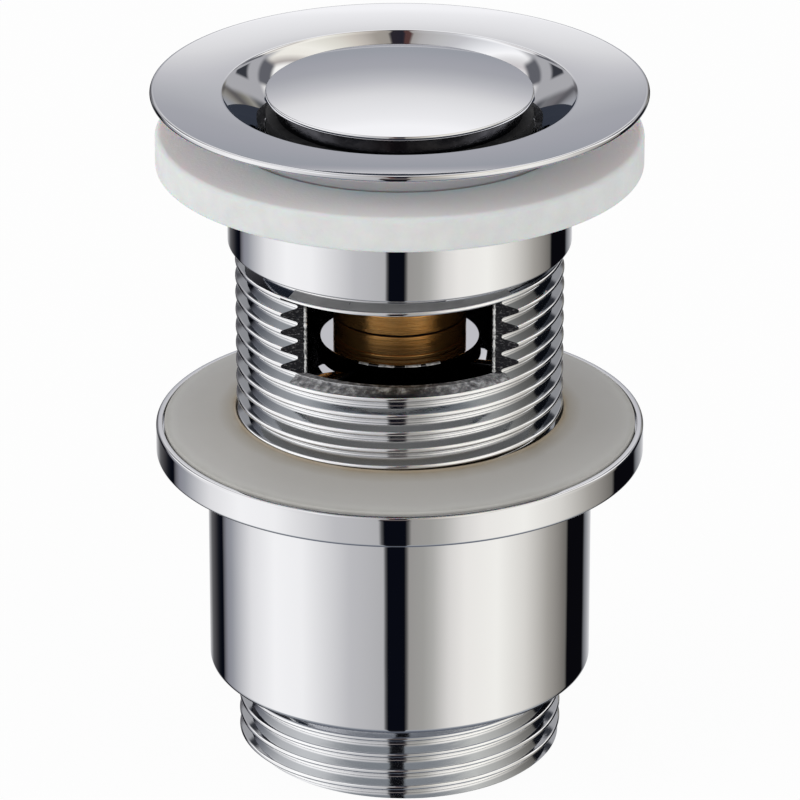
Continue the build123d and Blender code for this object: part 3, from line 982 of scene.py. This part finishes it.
def studio_cards(tree, bounces):
    """All that metal sees of the studio, by direction; angles are in degrees."""
    x, y, z = parts_of(tree, tree.nodes.new("ShaderNodeTexCoord").outputs["Generated"])

    def both(a, b):
        return math_node(tree, "MULTIPLY", a, b)

    def either(a, b):
        return math_node(tree, "MAXIMUM", a, b)

    def rise(value, start, end):
        return map_range(tree, value, start, end, smooth_step=True)

    def fall(value, start, end):
        return map_range(tree, value, start, end, 1, 0, smooth_step=True)

    def between(value, rises, falls):
        """1 between a soft edge that rises and one that falls."""
        return both(rise(value, *rises), fall(value, *falls))

    def hang(card, onto, *colour):
        """Card of one screen colour, where its mask is, over what was there."""
        return mix_colour(tree, card, onto, seen(*colour))

    azimuth = both(math_node(tree, "ARCTAN2", x, both(y, -1)), 180 / pi)
    elevation = both(math_node(tree, "ARCSINE", z), 180 / pi)
    aside = math_node(tree, "ABSOLUTE", azimuth)
    around = map_range(tree, azimuth, -180, 180)
    upright = map_range(tree, elevation, -90, 90)
    overhead = cards_overhead(tree, map_range(tree, x, 1, -1))

    raised = either(rise(elevation, 30, 48), both(rise(aside, 95, 112), rise(elevation, 9, 19)))
    front = mix_colour(tree, raised, cards_all_round(tree, around), overhead)
    ahead = both(between(azimuth, (-9.2, -8.2), (3.9, 4.9)), between(elevation, (-4, 5), (32, 46)))
    lit = mix_colour(tree, rise(elevation, 12, 26), seen(50, 42, 45), seen(122, 116, 114))
    front = mix_colour(tree, ahead, front, lit)

    side_card = both(rise(aside, 122, 130), between(elevation, (-66, -60), (-25, -19)))
    stripe = both(between(azimuth, (-8.6, -8), (3.7, 4.3)),
                  between(elevation, (-68, -62), (-25, -19)))
    below = hang(either(side_card, stripe), table_below(tree, upright), 20, 20, 24)
    front = mix_colour(tree, fall(elevation, -43, -33), front, below)

    foot = both(fall(aside, 158, 170), fall(elevation, 14, 24))
    back = mix_colour(tree, foot, back_wall(tree, upright), foot_of_back_wall(tree, around))
    back = hang(both(fall(aside, 156, 160), rise(elevation, 12, 18)), back, 165, 165, 168)
    near_card = both(between(aside, (143, 145.5), (150, 153)),
                     between(elevation, (25.5, 28), (36, 40)))
    back = hang(near_card, back, 52, 54, 60)
    back = mix_colour(tree, rise(elevation, 52, 62), back, overhead)

    to_back = either(both(rise(aside, 140, 149), rise(elevation, -12, -4)),
                     both(rise(aside, 132, 138), rise(elevation, 6, 12)))
    cards = mix_colour(tree, to_back, front, back)
    far_card = both(between(aside, (126, 130), (136, 139)), between(elevation, (26, 30), (41, 45)))
    cards = hang(far_card, cards, 94, 95, 101)
    right_card = both(between(azimuth, (115, 117), (140, 144)),
                      between(elevation, (-19, -17), (6, 12)))
    low_card = both(rise(aside, 148, 154), between(elevation, (-19, -16), (-6, -3)))
    cards = hang(either(right_card, low_card), cards, 20, 22, 28)

    # Light that has bounced twice before it leaves, as off the wall of the dish
    twice = both(rise(bounces, 2.2, 2.8), both(rise(elevation, 2, 8), fall(aside, 160, 166)))
    return hang(twice, cards, 50, 55, 65)


def background(tree, colour, strength=1.0):
    """World light of one colour, a tuple or a socket."""
    node = tree.nodes.new("ShaderNodeBackground")
    if isinstance(colour, tuple):
        node.inputs[0].default_value = (*colour, 1)
    else:
        tree.links.new(colour, node.inputs[0])
    node.inputs[1].default_value = strength
    return node.outputs[0]


def mix_shader(tree, factor, a, b):
    node = tree.nodes.new("ShaderNodeMixShader")
    for socket, value in zip(node.inputs, (factor, a, b)):
        tree.links.new(value, socket)
    return node.outputs[0]


def studio_world():
    """White to the camera, even light on dull surfaces, and a studio's cards for metal."""
    world = bpy.data.worlds.new("studio")
    bpy.context.scene.world = world
    world.use_nodes = True
    tree = world.node_tree
    tree.nodes.clear()
    out = tree.nodes.new("ShaderNodeOutputWorld")
    path = tree.nodes.new("ShaderNodeLightPath")
    even = background(tree, WHITE, EVEN_LIGHT)
    mirrored = background(tree, studio_cards(tree, path.outputs["Ray Depth"]))
    shiny = math_node(tree, "MAXIMUM", path.outputs["Is Glossy Ray"],
                     path.outputs["Is Transmission Ray"])
    lighting = mix_shader(tree, shiny, even, mirrored)
    plain = background(tree, WHITE)
    tree.links.new(mix_shader(tree, path.outputs["Is Camera Ray"], lighting, plain), out.inputs[0])


def studio_floor():
    """Large white floor that keeps a faint shadow and can be looked through from below."""
    bpy.ops.object.select_all(action="DESELECT")
    bpy.ops.mesh.primitive_plane_add(size=6, location=(0, 0, -0.0001))
    floor = bpy.context.object
    floor.name = "floor"
    material = bpy.data.materials.new("white_floor")
    material.use_nodes = True
    tree = material.node_tree
    tree.nodes.clear()
    out = tree.nodes.new("ShaderNodeOutputMaterial")
    paint = tree.nodes.new("ShaderNodeBsdfDiffuse")
    paint.inputs[0].default_value = (0.9, 0.9, 0.9, 1)
    glow = tree.nodes.new("ShaderNodeEmission")
    glow.inputs[0].default_value = (*WHITE, 1)
    glow.inputs[1].default_value = 1.0
    clear = tree.nodes.new("ShaderNodeBsdfTransparent")
    path = tree.nodes.new("ShaderNodeLightPath")
    share = math_node(tree, "MULTIPLY", path.outputs["Is Camera Ray"], FLOOR_GLOW)
    top = mix_shader(tree, share, paint.outputs[0], glow.outputs[0])
    from_below = tree.nodes.new("ShaderNodeNewGeometry").outputs["Backfacing"]
    tree.links.new(mix_shader(tree, from_below, top, clear.outputs[0]), out.inputs[0])
    floor.data.materials.append(material)
    floor.visible_glossy = False


def soft_lamp(name, location, size, power):
    """Large soft lamp that faces the object and doesn't show in its plating."""
    light = bpy.data.lights.new(name, "AREA")
    light.size = size
    light.energy = power
    lamp = bpy.data.objects.new(name, light)
    bpy.context.scene.collection.objects.link(lamp)
    lamp.location = location
    back = [a - b for a, b in zip(location, LAMP_AIM)]
    flat = hypot(back[0], back[1])
    lamp.rotation_euler = (atan2(flat, back[2]), 0, atan2(back[0], -back[1]))
    lamp.visible_glossy = False


def photo_camera():
    """Camera at the photograph's angle."""
    camera = bpy.data.cameras.new("camera")
    camera.lens = CAMERA_LENS
    camera.sensor_width = CAMERA_SENSOR
    camera.shift_x = SHIFT[0] / PICTURE
    camera.shift_y = SHIFT[1] / PICTURE
    view = bpy.data.objects.new("camera", camera)
    bpy.context.scene.collection.objects.link(view)
    view.location = CAMERA_PLACE
    view.rotation_euler = (radians(90 - CAMERA_ELEVATION), 0, 0)
    bpy.context.scene.camera = view


studio_world()
studio_floor()
soft_lamp("left_lamp", (-1.1, -0.45, 0.55), size=0.7, power=4.4)
soft_lamp("right_lamp", (0.9, -0.7, 0.6), size=0.7, power=2.1)
photo_camera()
bpy.context.scene.view_settings.view_transform = "Standard"
